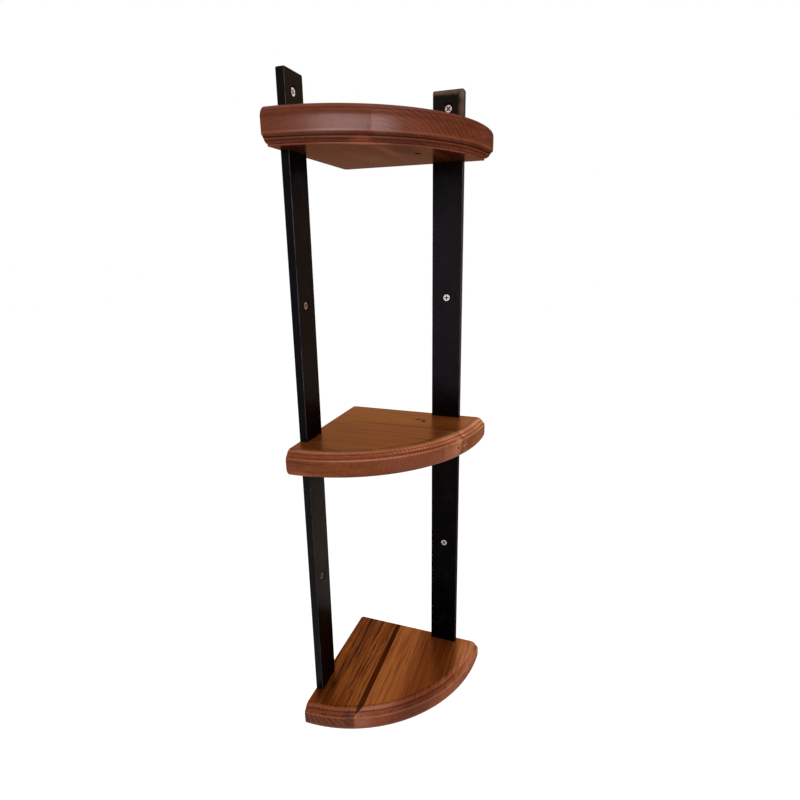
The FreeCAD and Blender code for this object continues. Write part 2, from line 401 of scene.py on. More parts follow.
class BoardGrain(SharedGroup):
    """Growth rings round the middle of the tree, streaks, fibres and pores of one solid board.

    Board Place is in millimetres with x along the grain, y across the board and z up through it.
    """

    title = "Board grain"
    inputs = (
        ("Board Place", "Vector"), ("Tree Middle", "Vector"), ("Ring Width", "Float"),
        ("Wander", "Float"), ("Fineness", "Float"), ("Seed", "Float"))
    outputs = (
        ("Ring", "Float"), ("Streak", "Float"), ("Vein", "Float"),
        ("Cloud", "Float"), ("Fibre", "Float"), ("Pore", "Float"))

    seed_step: Triple = (131.0, 57.0, 83.0)
    round_the_tree: Triple = (0.0, 1.0, 1.0)
    slow = Noise(detail=3.0, rough=0.55, stretch=(0.006, 0.022, 0.03))
    uneven = Noise(detail=1.5, stretch=(0.01, 0.03, 0.03))
    thread = Noise(twist=0.3, stretch=(0.0032, 0.1, 0.1))
    streak = Noise(detail=4.0, rough=0.66, twist=0.15, stretch=(0.004, 0.15, 0.15))
    cloud = Noise(detail=3.0, stretch=(0.008, 0.03, 0.03))
    fibre = Noise(detail=4.0, rough=0.72, stretch=(0.018, 0.55, 0.55))
    pore = Noise(detail=1.0, stretch=(0.16, 1.9, 1.9))
    unevenness = 2.4
    ring_start: Pair = (0.06, 0.26)
    ring_end: Span = (0.84, 1.0, 1.0, 0.0)
    ring_fading: Span = (0.35, 0.6, 0.45, 1.15)
    vein_edge: Span = (0.004, 0.05, 1.0, 0.0)
    vein_fading: Span = (0.35, 0.6, 1.0, 0.3)
    pore_edge: Pair = (0.63, 0.72)

    @classmethod
    def wire(cls, bench: Bench, given: bpy.types.NodeOutputs) -> dict[str, Value]:
        """Make the nodes inside.

        Args:
            bench: where they are made.
            given: the group's input sockets.

        Returns:
            The values of the output sockets by name.
        """
        place = bench.vectors("ADD", given["Board Place"], bench.vectors("SCALE", cls.seed_step, given["Seed"]))
        slow = cls.slow.read(bench, place)
        push = bench.push(slow["Color"], given["Wander"])
        pushed = bench.vectors("ADD", place, push)
        from_middle = bench.vectors(
            "SUBTRACT", bench.vectors("ADD", given["Board Place"], push), given["Tree Middle"])
        radius = bench.vectors("LENGTH", bench.vectors("MULTIPLY", from_middle, cls.round_the_tree))
        turns = bench.sums("DIVIDE", radius, given["Ring Width"])
        phase = bench.sums("FRACT", bench.fused(cls.uneven.read(bench, place)["Fac"], cls.unevenness, turns))
        late = bench.times(bench.spread(phase, *cls.ring_start), bench.spread(phase, *cls.ring_end))
        thread = cls.thread.read(bench, pushed, given["Fineness"])["Fac"]
        vein = bench.spread(bench.sums("ABSOLUTE", bench.swing(thread)), *cls.vein_edge)
        streak = cls.streak.read(bench, pushed, given["Fineness"])["Fac"]
        return {
            "Ring": bench.times(late, bench.spread(slow["Fac"], *cls.ring_fading)),
            "Streak": streak,
            "Vein": bench.times(vein, bench.spread(streak, *cls.vein_fading)),
            "Cloud": cls.cloud.read(bench, place)["Fac"],
            "Fibre": cls.fibre.read(bench, place)["Fac"],
            "Pore": bench.spread(cls.pore.read(bench, place)["Fac"], *cls.pore_edge),
        }


class SoftSpot(SharedGroup):
    """A soft-edged patch round a point, a little ragged, as knots and pale or dark places are."""

    title = "Soft spot"
    inputs = (
        ("Place", "Vector"), ("Middle", "Vector"), ("Reach", "Vector"), ("Edge", "Float"), ("Ragged", "Float"))
    outputs = (("Mask", "Float"),)
    tatters = Noise(0.35, 3.0, 0.6)

    @classmethod
    def wire(cls, bench: Bench, given: bpy.types.NodeOutputs) -> dict[str, Value]:
        """Make the nodes inside.

        Args:
            bench: where they are made.
            given: the group's input sockets.

        Returns:
            The values of the output sockets by name.
        """
        push = bench.push(cls.tatters.read(bench, given["Place"])["Color"], given["Ragged"])
        away = bench.vectors("SUBTRACT", bench.vectors("ADD", given["Place"], push), given["Middle"])
        span = bench.vectors("LENGTH", bench.vectors("DIVIDE", away, given["Reach"]))
        return {"Mask": bench.spread(span, bench.sums("SUBTRACT", 1.0, given["Edge"]), 1.0, 1.0, 0.0)}


@dataclass(frozen=True)
class Patch:
    """A knot, or a lighter, darker or better polished place, in the wood, or a painted highlight, sheen or shade
    on it.

    Its middle is in the shelf's millimetres: x and y from the wall corner, z up from the lowest underside.
    """

    middle: Triple
    reach: Triple
    colour: Triple
    strength: float = 0.8
    edge: float = 0.6
    ragged: float = 1.0
    matt: float = 0.0

    def mask(self, bench: Bench, place: Socket) -> Socket:
        """Give 1 in the patch and 0 outside.

        Args:
            bench: where the nodes are made.
            place: the point in millimetres.

        Returns:
            The share of the patch.
        """
        return bench.group(
            SoftSpot.tree(), Place=place, Middle=self.middle, Reach=self.reach, Edge=self.edge,
            Ragged=self.ragged)["Mask"]


# Painted shade and highlight on the moulded edge, by height above the board's underside:
# under 0.5 painted shade in a groove, over it a painted highlight on a ridge.
MOULDED_ABOVE: tuple[Pair, ...] = (
    (0.0, 0.5), (22.6, 0.5), (23.3, 0.6), (24.2, 0.6), (24.9, 0.5), (26.0, 0.4), (27.6, 0.3), (28.4, 0.4),
    (29.2, 0.53), (31.2, 0.56), (32.4, 0.5))
MOULDED_BELOW: tuple[Pair, ...] = (
    (0.6, 0.5), (1.2, 0.62), (1.8, 0.5), (3.2, 0.46), (3.9, 0.34), (5.2, 0.34), (5.7, 0.5), (6.1, 0.66),
    (6.5, 0.45), (6.9, 0.22), (7.7, 0.24), (8.4, 0.44), (9.4, 0.5), (10.0, 0.56), (11.2, 0.56), (12.6, 0.5),
    (23.5, 0.5), (25.0, 0.42), (28.0, 0.44), (29.5, 0.5), (30.2, 0.38), (31.2, 0.38), (32.2, 0.5))

# Ranges of the upward part of the normal, and of the height above the underside, that tell the faces.
UNDERSIDE_RISE: Span = (-0.985, -0.88, 1.0, 0.0)
UNDERSIDE_DEPTH: Span = (0.3, 1.2, 1.0, 0.0)
UPPER_RISE: Pair = (0.88, 0.985)
RING_RISE: Pair = (0.1, 0.45)
# Ranges of how squarely the end grain looks out, and what the marks keep there.
END_CALM_REACH: Pair = (0.15, 0.6)
END_FIBRE: Span = (0.2, 0.7, 1.0, 0.14)
FLAT_RINGS = 0.06
# Strength of the painted shade in grooves and of the painted highlight on ridges, and depth and colour of the
# marks.
GROOVE_GAIN = 3.6
RIDGE_GAIN = 4.0
PORE_SHARE = 0.4
PORE_SHADE: Triple = (0.4, 0.3, 0.22)
PATCH_FLECKS: Stops = ((0.0, (0.42, 0.35, 0.3)), (0.55, (1.0, 1.0, 1.0)))
# Gloss and relief.
FIBRE_ROUGH = 0.16
PORE_ROUGH = 0.12
OIL_ROUGH = 0.34
FAR_WAX = 0.15
GROOVE_WAX_LOSS = 0.7
WAX_FLECKS: Span = (0.2, 0.8, 0.92, 1.04)
PORE_RELIEF = -0.8
RING_RELIEF = 0.3
RELIEF_STRENGTH = 0.14
RELIEF_DEPTH = 0.0001


class BoardNodes:
    """What all the steps of a board's finish read: its grain, the place on it and the kind of face."""

    def __init__(self, bench: Bench, finish: "WoodFinish", grain: Pair, floor_level: float) -> None:
        """Make the nodes.

        Args:
            bench: where they are made.
            finish: the board's finish.
            grain: way of the grain, seen from above.
            floor_level: height of the board's underside in millimetres.
        """
        board = bench.millimetres(-math.atan2(grain[1], grain[0]), floor_level)
        self.bench = bench
        self.place = bench.millimetres()
        self.grain = bench.group(
            BoardGrain.tree(), Board_Place=board, Tree_Middle=(0.0, *finish.tree_middle),
            Ring_Width=finish.ring_width, Wander=finish.wander, Fineness=finish.fineness, Seed=finish.seed)
        self.end = bench.facing(Vector((*grain, 0.0)).normalized().to_tuple())
        self.rise = bench.split(bench.coords("Normal"))[2]
        _, self.across, self.depth = bench.split(board)
        self.beneath = bench.times(
            bench.spread(self.rise, *UNDERSIDE_RISE), bench.spread(self.depth, *UNDERSIDE_DEPTH))
        self.above = bench.spread(self.rise, *UPPER_RISE)

    def by_face(self, amounts: Triple) -> Socket:
        """Give one amount on the underside, another on the edges and a third on the upper face.

        Args:
            amounts: underside, edges and upper face.

        Returns:
            The amount at each place.
        """
        under, edge, upper = amounts
        lower = self.bench.fused(self.beneath, under - edge, edge)
        return self.bench.fused(self.above, upper - edge, lower)


@dataclass(frozen=True)
class WoodFinish:
    """Satin-oiled red-brown hardwood, one finish for each board.

    face_shade, satin and wax hold values for the underside, the edges and the upper face. face_shade darkens the
    colour there as painted shade.
    """

    name: str
    tree_middle: Pair
    ring_width: float
    wander: float
    fineness: float
    seed: float
    dark: Triple
    middle: Triple
    light: Triple
    ring_depth: float = 0.2
    streak_depth: float = 0.7
    cloud_depth: float = 0.35
    fibre_depth: float = 0.85
    vein_depth: float = 0.12
    end_shade: float = 0.12
    face_shade: Triple = (0.0, 0.0, 0.0)
    end_calm: float = 0.3
    under_calm: float = 0.25
    stripes: tuple[Pair, ...] = MOULDED_ABOVE
    stripe_span: float = 40.0
    # groove and ridge are the colours of the painted shade in the moulding's grooves and of the painted highlight
    # on its ridges.
    groove: Triple = tint(50, 15, 3)
    ridge: Triple = tint(150, 92, 66)
    ring_faces: Pair = (1.0, 1.0)
    ring_reach: Pair = (0.42, 0.9)
    tick: Triple = tint(196, 124, 82)
    tick_strength: float = 0.0
    tone_and_reflection_zones: Stops = ()
    zone_span: Pair = (0.0, 200.0)
    zone_stray: float = 34.0
    patches: tuple[Patch, ...] = ()
    rough: float = 0.26
    satin: Triple = (0.24, 0.04, 0.48)
    wax: Triple = (0.0, 0.3, 0.08)
    wax_end: Pair = (140.0, 190.0)
    polish: tuple[Patch, ...] = ()
    mirror: Triple = (0.8, 0.6, 0.45)

    def build(self, grain: Pair, floor_level: float) -> bpy.types.Material:
        """Make the board's material.

        Args:
            grain: way of the grain, seen from above.
            floor_level: height of the board's underside in millimetres.

        Returns:
            The material.
        """
        material, bench, shader = new_finish(self.name)
        nodes = BoardNodes(bench, self, grain, floor_level)
        ringed = self.ringed(nodes)
        tone = self.tone(nodes, ringed)
        groove_shade_share, ridge_highlight_share = self.moulding(nodes)
        colour = self.marked(nodes, tone, ringed, groove_shade_share, ridge_highlight_share)
        satin = nodes.by_face(self.satin)
        flecks = bench.ramp(tone, PATCH_FLECKS)
        for patch in self.patches:
            mask = patch.mask(bench, nodes.place)
            if patch.matt:
                satin = bench.dimmed(satin, mask, patch.matt)
            flecked = bench.blend(1.0, patch.colour, flecks, "MULTIPLY")
            colour = bench.blend(bench.times(mask, patch.strength), colour, flecked)
        bench.feed(shader.inputs["Base Color"], colour)
        bench.feed(shader.inputs["Metallic"], satin)
        self.polished(nodes, shader, groove_shade_share)
        fibre, pore, ring = (nodes.grain[part] for part in ("Fibre", "Pore", "Ring"))
        relief = bench.fused(ring, RING_RELIEF, bench.fused(pore, PORE_RELIEF, fibre))
        bench.emboss(shader, relief, RELIEF_STRENGTH, RELIEF_DEPTH)
        return material

    def ringed(self, nodes: BoardNodes) -> Socket:
        """Find the growth rings: full on end grain, faint on the flat faces.

        Args:
            nodes: what the board's finish reads.

        Returns:
            Their strength.
        """
        bench = nodes.bench
        at_end = bench.times(nodes.grain["Ring"], bench.spread(nodes.end, *self.ring_reach, FLAT_RINGS, 1.0))
        return bench.times(at_end, bench.spread(nodes.rise, *RING_RISE, *self.ring_faces))

    def tone(self, nodes: BoardNodes, ringed: Socket) -> Socket:
        """Add up the grain's marks, and the painted shade of the underside and edges.

        Args:
            nodes: what the board's finish reads.
            ringed: strength of the growth rings.

        Returns:
            The tone, from 0 for the dark to 1 for the light colour.
        """
        bench = nodes.bench
        quiet = bench.fused(nodes.beneath, self.under_calm - 1.0, 1.0)
        calm = bench.times(bench.spread(nodes.end, *END_CALM_REACH, 1.0, self.end_calm), quiet)
        tone: Value = NOISE_MIDDLE
        for part, depth in (("Streak", self.streak_depth), ("Cloud", self.cloud_depth)):
            tone = bench.fused(bench.times(bench.swing(nodes.grain[part]), calm), depth, tone)
        tone = bench.fused(bench.times(nodes.grain["Vein"], calm), -self.vein_depth, tone)
        kept = bench.times(bench.spread(nodes.end, *END_FIBRE), quiet)
        tone = bench.fused(bench.times(bench.swing(nodes.grain["Fibre"]), kept), self.fibre_depth, tone)
        tone = bench.fused(nodes.end, -self.end_shade, tone)
        # Painted shade: the underside and the edges made darker by face_shade.
        tone = bench.sums("SUBTRACT", tone, nodes.by_face(self.face_shade))
        return bench.fused(ringed, -self.ring_depth, tone, clamp=True)

    def moulding(self, nodes: BoardNodes) -> tuple[Socket, Socket]:
        """Find where shade is painted in the grooves of the moulded edge, and highlights on its ridges.

        Args:
            nodes: what the board's finish reads.

        Returns:
            The share of painted shade in a groove, and of painted highlight on a ridge, each from 0 to 1.
        """
        bench = nodes.bench
        height = bench.sums("DIVIDE", nodes.depth, self.stripe_span, clamp=True)
        stops = tuple((level / self.stripe_span, (shade, shade, shade)) for level, shade in self.stripes)
        stripe = bench.ramp(height, stops)
        groove_shade_share = bench.sums("MULTIPLY", bench.sums("SUBTRACT", NOISE_MIDDLE, stripe), GROOVE_GAIN, clamp=True)
        ridge_highlight_share = bench.sums("MULTIPLY", bench.swing(stripe), RIDGE_GAIN, clamp=True)
        return groove_shade_share, ridge_highlight_share

    def marked(self, nodes: BoardNodes, tone: Socket, ringed: Socket, groove_shade_share: Socket, ridge_highlight_share: Socket) -> Socket:
        """Colour the wood, with the painted shade and highlights of its moulded edge, its pores and its zones.

        Args:
            nodes: what the board's finish reads.
            tone: the grain's tone.
            ringed: strength of the growth rings.
            groove_shade_share: share of painted shade in a groove.
            ridge_highlight_share: share of painted highlight on a ridge.

        Returns:
            The colour, without the patches.
        """
        bench = nodes.bench
        colour = bench.ramp(tone, ((0.0, self.dark), (0.5, self.middle), (1.0, self.light)))
        # Painted shade in the moulding's grooves and painted highlight on its ridges.
        colour = bench.blend(ridge_highlight_share, bench.blend(groove_shade_share, colour, self.groove), self.ridge)
        if self.tick_strength:
            ticks = bench.sums("MULTIPLY", ringed, self.tick_strength, clamp=True)
            colour = bench.blend(ticks, colour, self.tick)
        shaded = bench.blend(1.0, colour, PORE_SHADE, "MULTIPLY")
        colour = bench.blend(bench.times(nodes.grain["Pore"], PORE_SHARE), colour, shaded)
        # Colour zones across the board; the dark band on the bottom right board is a painted reflection of the
        # right bar.
        if self.tone_and_reflection_zones:
            across = bench.fused(bench.swing(nodes.grain["Cloud"]), self.zone_stray, nodes.across)
            low, high = self.zone_span
            share = bench.sums("DIVIDE", bench.sums("SUBTRACT", across, low), high - low, clamp=True)
            colour = bench.blend(1.0, colour, bench.ramp(share, self.tone_and_reflection_zones), "MULTIPLY")
        return colour

    def polished(self, nodes: BoardNodes, shader: bpy.types.Node, groove_shade_share: Socket) -> None:
        """Set the roughness and the wax.

        Args:
            nodes: what the board's finish reads.
            shader: the shader.
            groove_shade_share: share of painted shade in a groove, where less wax is rubbed.
        """
        bench = nodes.bench
        fibre, pore = nodes.grain["Fibre"], nodes.grain["Pore"]
        rough = bench.fused(bench.swing(fibre), FIBRE_ROUGH, self.rough)
        bench.feed(shader.inputs["Roughness"], bench.fused(pore, PORE_ROUGH, rough, clamp=True))
        shader.inputs["Specular IOR Level"].default_value = 0.0
        shader.inputs["Specular Tint"].default_value = (*self.mirror, 1.0)
        shader.inputs["Coat Roughness"].default_value = OIL_ROUGH
        along_wall = bench.split(nodes.place)[0]
        wax = bench.times(nodes.by_face(self.wax), bench.spread(along_wall, *self.wax_end, 1.0, FAR_WAX))
        wax = bench.dimmed(wax, groove_shade_share, GROOVE_WAX_LOSS)
        for rubbed in self.polish:
            wax = bench.fused(rubbed.mask(bench, nodes.place), rubbed.strength, wax)
        bench.feed(shader.inputs["Coat Weight"], bench.times(wax, bench.spread(fibre, *WAX_FLECKS)))


@dataclass(frozen=True)
class SteelFinish:
    """Black paint on flat steel bar, with painted shade and painted reflections changing with height,
    painted highlights along its long edges, a painted reflection on its narrow sides and a pale band at the top
    edges.

    Lengths are in millimetres. The spans turn a noise, or how squarely a face looks sideways, into a share.
    """

    name: str
    shade_and_reflection_by_height: Stops
    gloss_low: float
    gloss_high: float
    worn: Triple = tint(34, 24, 18)
    pale_band: Triple = tint(104, 84, 70)
    narrow_side_reflection: Triple = tint(9, 10, 14)
    arris_highlight: Triple = tint(88, 88, 100)
    across: Triple = (1.0, 0.0, 0.0)
    pale_band_top: float = 0.0
    pale_band_side: float = 0.0
    bar_height: float = 801.5
    bar_middle: float = 141.5
    bar_half: float = 19.0
    arris_width: Pair = (1.3, 0.8)
    gloss_change: Pair = (320.0, 420.0)
    arris_change: Span = (320.0, 620.0, 0.4, 1.0)
    mottle: Noise = Noise(60.0, 4.0, 0.6)
    speck: Noise = Noise(900.0, 2.0, 0.6)
    waver: Noise = Noise(110.0, 3.0, 0.6)
    grit: Noise = Noise(420.0, 3.0)
    side_paint: Span = (0.75, 0.97, 0.0, 0.85)
    faded: Span = (0.5, 0.8, 0.0, 0.2)
    specks: Span = (0.68, 0.8, 0.0, 0.35)
    arris_from: Pair = (0.2, 0.5)
    arris_to: Span = (0.8, 0.97, 1.0, 0.0)
    arris_fleck: Span = (0.35, 0.6, 0.2, 0.8)
    pale_band_fleck: Span = (0.3, 0.7, 0.5, 1.0)
    pale_band_square: Span = (0.55, 0.9, 1.0, 0.12)
    gloss_fleck: Span = (0.3, 0.7, 0.85, 1.15)
    rough: float = 0.3
    rough_swing: float = 0.16
    coat_rough: float = 0.22
    relief: Pair = (0.3, 0.00008)

    def build(self) -> bpy.types.Material:
        """Make the paint.

        Returns:
            The material.
        """
        material, bench, shader = new_finish(self.name)
        coords = bench.coords("Object")
        along, _, height = bench.split(coords)
        mottle = self.mottle.read(bench, coords)["Fac"]
        sideways = bench.facing(self.across)
        level = bench.sums("DIVIDE", height, self.bar_height * MM)
        # Painted shade next to the shelves, and painted reflections between them, by height.
        paint = bench.ramp(level, tuple((at / self.bar_height, tone) for at, tone in self.shade_and_reflection_by_height))
        # Painted reflection on the bar's narrow sides.
        colour = bench.blend(bench.spread(sideways, *self.side_paint), paint, self.narrow_side_reflection)
        colour = bench.blend(bench.spread(mottle, *self.faded), colour, self.worn)
        # Painted highlight along the bar's long edges, weaker lower down.
        edge_highlight = bench.times(self.rubbed(bench, coords, height, sideways), bench.spread(mottle, *self.arris_fleck))
        colour = bench.blend(edge_highlight, colour, self.arris_highlight)
        specks = bench.spread(self.speck.read(bench, coords)["Fac"], *self.specks)
        colour = bench.blend(specks, colour, self.worn)
        if self.pale_band_top:
            pale_share = bench.times(
                self.pale_band_share(bench, coords, height, along), bench.spread(mottle, *self.pale_band_fleck))
            square = bench.sums("MAXIMUM", sideways, bench.split(bench.coords("Normal"))[2])
            pale_share = bench.times(pale_share, bench.spread(square, *self.pale_band_square))
            colour = bench.blend(pale_share, colour, self.pale_band)
        bench.feed(shader.inputs["Base Color"], colour)
        bench.feed(shader.inputs["Roughness"], bench.fused(mottle, self.rough_swing, self.rough))
        shader.inputs["Specular IOR Level"].default_value = 0.0
        shader.inputs["Coat Roughness"].default_value = self.coat_rough
        gloss = self.by_height(bench, height, (*self.gloss_change, self.gloss_low, self.gloss_high))
        bench.feed(shader.inputs["Coat Weight"], bench.times(gloss, bench.spread(mottle, *self.gloss_fleck)))
        bench.emboss(shader, self.grit.read(bench, coords)["Fac"], *self.relief)
        return material

    def by_height(self, bench: Bench, height: Socket, change: Span) -> Socket:
        """Change a value smoothly with height.

        Args:
            bench: where the nodes are made.
            height: height, or another length, of the place in metres.
            change: start and end of the change in millimetres, and the values there.

        Returns:
            The value.
        """
        low, high, to_low, to_high = change
        return bench.spread(height, low * MM, high * MM, to_low, to_high)

    def rubbed(self, bench: Bench, coords: Socket, height: Socket, sideways: Socket) -> Socket:
        """Find the long edges of the bar, where a highlight is painted.

        Args:
            bench: where the nodes are made.
            coords: the place.
            height: height of the place.
            sideways: how squarely the surface looks sideways.

        Returns:
            The share of the painted highlight.
        """
        from_corner = bench.sums("ABSOLUTE", bench.vectors("DOT_PRODUCT", coords, self.across))
        off_middle = bench.sums("ABSOLUTE", bench.sums("SUBTRACT", from_corner, self.bar_middle * MM))
        outer, inner = (self.bar_half - width for width in self.arris_width)
        at_edge = self.by_height(bench, off_middle, (outer, inner, 0.0, 1.0))
        turned = bench.times(bench.spread(sideways, *self.arris_from), bench.spread(sideways, *self.arris_to))
        return bench.times(bench.times(turned, at_edge), self.by_height(bench, height, self.arris_change))

    def pale_band_share(self, bench: Bench, coords: Socket, height: Socket, along: Socket) -> Socket:
        """Give 1 in the pale band along the bar's top and outer edge, and 0 elsewhere.

        Args:
            bench: where the nodes are made.
            coords: the place.
            height: height of the place.
            along: distance of the place along the wall.

        Returns:
            The share of the pale band.
        """
        raggedness, rim_band, side_band, reach_down = 8.0, (7.0, 2.0), (7.5, 3.0), (42.0, 20.0)
        ragged = bench.times(bench.swing(self.waver.read(bench, coords)["Fac"]), raggedness * MM)
        height, along = bench.sums("ADD", height, ragged), bench.sums("ADD", along, ragged)

        def band(where: Socket, edge: float, below: Pair) -> Socket:
            """Share that grows between two distances below an edge."""
            start, full = below
            return self.by_height(bench, where, (edge - start, edge - full, 0.0, 1.0))

        side = bench.times(band(along, self.pale_band_side, side_band), band(height, self.pale_band_top, reach_down))
        return bench.sums("MAXIMUM", band(height, self.pale_band_top, rim_band), side)


@dataclass(frozen=True)
class ZincFinish:
    """Bright zinc plate on the screws, dulled by handling; in dark colours it is also the painted shade of a
    recess.
    """

    name: str
    bright: Triple = tint(214, 206, 202)
    dull: Triple = tint(120, 108, 100)
    rough: float = 0.22
    metal: float = 1.0
    cloud: Noise = Noise(700.0, 3.0, 0.6)
    grit: Noise = Noise(2600.0, 2.0)
    dulled: Pair = (0.35, 0.7)
    rough_swing: float = 0.3
    relief: Pair = (0.2, 0.00004)

    def build(self) -> bpy.types.Material:
        """Make the plating.

        Returns:
            The material.
        """
        material, bench, shader = new_finish(self.name)
        coords = bench.coords("Object")
        cloud = self.cloud.read(bench, coords)["Fac"]
        colour = bench.blend(bench.spread(cloud, *self.dulled), self.bright, self.dull)
        bench.feed(shader.inputs["Base Color"], colour)
        bench.feed(shader.inputs["Roughness"], bench.fused(cloud, self.rough_swing, self.rough))
        shader.inputs["Metallic"].default_value = self.metal
        bench.emboss(shader, self.grit.read(bench, coords)["Fac"], *self.relief)
        return material


@dataclass
class Viewpoint:
    """The camera, at the photograph's viewing angle."""

    place: Triple = (0.323278, -0.700043, 0.622160)
    turn: float = 19.7356
    tilt: float = 15.6985
    roll: float = -0.7811
    lens: float = 24.274
    sensor: float = 36.0
    clip: Pair = (0.02, 100.0)

    def build(self) -> None:
        """Make the camera and give it to the scene."""
        turn, tilt, roll = (math.radians(a) for a in (self.turn, self.tilt, self.roll))
        ahead = Vector((-math.sin(turn) * math.cos(tilt), math.cos(turn) * math.cos(tilt), -math.sin(tilt)))
        right = Vector((math.cos(turn), math.sin(turn), 0.0))
        up = right.cross(ahead)
        across = math.cos(roll) * right + math.sin(roll) * up
        upright = -math.sin(roll) * right + math.cos(roll) * up
        seen = bpy.data.cameras.new("photo_camera")
        seen.lens = self.lens
        seen.sensor_width = self.sensor
        seen.clip_start, seen.clip_end = self.clip
        camera = bpy.data.objects.new("photo_camera", seen)
        bpy.context.scene.collection.objects.link(camera)
        axes = Matrix((across, upright, -ahead)).transposed().to_4x4()
        camera.matrix_world = Matrix.Translation(self.place) @ axes
        bpy.context.scene.camera = camera


@dataclass(frozen=True)
class Softbox:
    """One rectangular studio light."""

    name: str
    place: Triple
    aim: Triple
    size: Pair
    power: float
    colour: Triple = (1.0, 1.0, 1.0)

    def build(self) -> None:
        """Make the light and point it."""
        lamp = bpy.data.lights.new(self.name, "AREA")
        lamp.shape = "RECTANGLE"
        lamp.size, lamp.size_y = self.size
        lamp.energy = self.power
        lamp.color = self.colour
        holder = bpy.data.objects.new(self.name, lamp)
        bpy.context.scene.collection.objects.link(holder)
        holder.location = self.place
        holder.rotation_euler = (Vector(self.aim) - Vector(self.place)).to_track_quat("-Z", "Y").to_euler()


@dataclass
class Studio:
    """Pale floor, white surroundings and soft light."""

    floor_level: float = -1.2
    floor_half: float = 14.0
    floor_cells: int = 8
    floor_glow: float = 0.42
    floor_grit: Noise = Noise(9.0, 4.0)
    floor_tones: Stops = ((0.3, tint(232, 231, 229)), (0.7, tint(240, 239, 238)))
    floor_rough: Span = (0.3, 0.7, 0.7, 0.85)
    ambient: float = 0.72
    ambient_colour: Triple = (1.0, 0.985, 0.97)
    white: Triple = (1.0, 1.0, 1.0)
    boxes: tuple[Softbox, ...] = (
        Softbox("window_softbox", (1.2, -2.07, 1.08), (0.1, -0.15, 0.6), (2.2, 0.7), 30.0, (1.0, 0.87, 0.96)),
        Softbox("overhead_softbox", (0.6, -0.5, 2.3), (0.1, -0.1, 0.4), (1.4, 1.4), 6.0, (1.0, 0.97, 0.93)),
    )

    def build(self) -> None:
        """Make the world, the floor and the lights."""
        self.light_world()
        self.lay_floor()
        for box in self.boxes:
            box.build()

    def direct_rays(self, bench: Bench) -> Socket:
        """Tell the rays that see things from the rays that light them.

        Args:
            bench: where the nodes are made.

        Returns:
            1 on camera, mirror and glass rays, and 0 on others.
        """
        rays = bench.put("LightPath").outputs
        seen = bench.sums("MAXIMUM", rays["Is Camera Ray"], rays["Is Glossy Ray"])
        return bench.sums("MAXIMUM", seen, rays["Is Transmission Ray"])

    def light_world(self) -> None:
        """White background, and a plain even light on the object."""
        world = bpy.data.worlds.new("studio_world")
        world.use_nodes = True
        bpy.context.scene.world = world
        bench = Bench(world.node_tree)
        world.node_tree.nodes.clear()
        around, shown = bench.put("Background"), bench.put("Background")
        bench.feed_all(around, Color=self.ambient_colour, Strength=self.ambient)
        bench.feed_all(shown, Color=self.white, Strength=1.0)
        chosen = bench.put("MixShader")
        for socket, value in zip(chosen.inputs, (self.direct_rays(bench), around.outputs[0], shown.outputs[0])):
            bench.feed(socket, value)
        bench.feed(bench.put("OutputWorld").inputs["Surface"], chosen.outputs[0])

    def lay_floor(self) -> None:
        """Pale floor well below the shelf, white to the camera except in shadow."""
        bpy.ops.object.select_all(action="DESELECT")
        bpy.ops.mesh.primitive_grid_add(
            x_subdivisions=self.floor_cells, y_subdivisions=self.floor_cells, size=2 * self.floor_half,
            location=(0.0, 0.0, self.floor_level))
        floor = bpy.context.object
        floor.name = "studio_floor"
        bpy.ops.object.transform_apply(location=True)
        material, bench, shader = new_finish("pale_floor")
        grit = self.floor_grit.read(bench, bench.coords("Object"))["Fac"]
        bench.feed(shader.inputs["Base Color"], bench.ramp(grit, self.floor_tones))
        bench.feed(shader.inputs["Roughness"], bench.spread(grit, *self.floor_rough))
        glow = bench.put("Emission")
        bench.feed(glow.inputs["Strength"], bench.times(self.direct_rays(bench), self.floor_glow))
        both = bench.put("AddShader")
        bench.feed(both.inputs[0], shader.outputs[0])
        bench.feed(both.inputs[1], glow.outputs[0])
        bench.feed(material.node_tree.nodes["Material Output"].inputs["Surface"], both.outputs[0])
        floor.data.materials.append(material)


def coat(node: str, material: bpy.types.Material) -> None:
    """Put a material on a CAD node.

    Args:
        node: the node's name.
        material: its finish.
    """
    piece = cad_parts[node]
    for held in piece.material_slots:
        held.material = material
    log.info("%s: %s", node, material.name)


class Level(Enum):
    """The three shelves, each with the height of its underside in millimetres."""

    BOTTOM = 0.0
    MIDDLE = 365.0
    TOP = 723.0


@dataclass
class Boards:
    """The wooden boards of one shelf, with the way of their grain seen from above."""

    level: Level
    grain: Pair
    finishes: dict[str, WoodFinish]

    def dress(self) -> None:
        """Give each board its own wood."""
        for node, finish in self.finishes.items():
            coat(node, finish.build(self.grain, self.level.value))


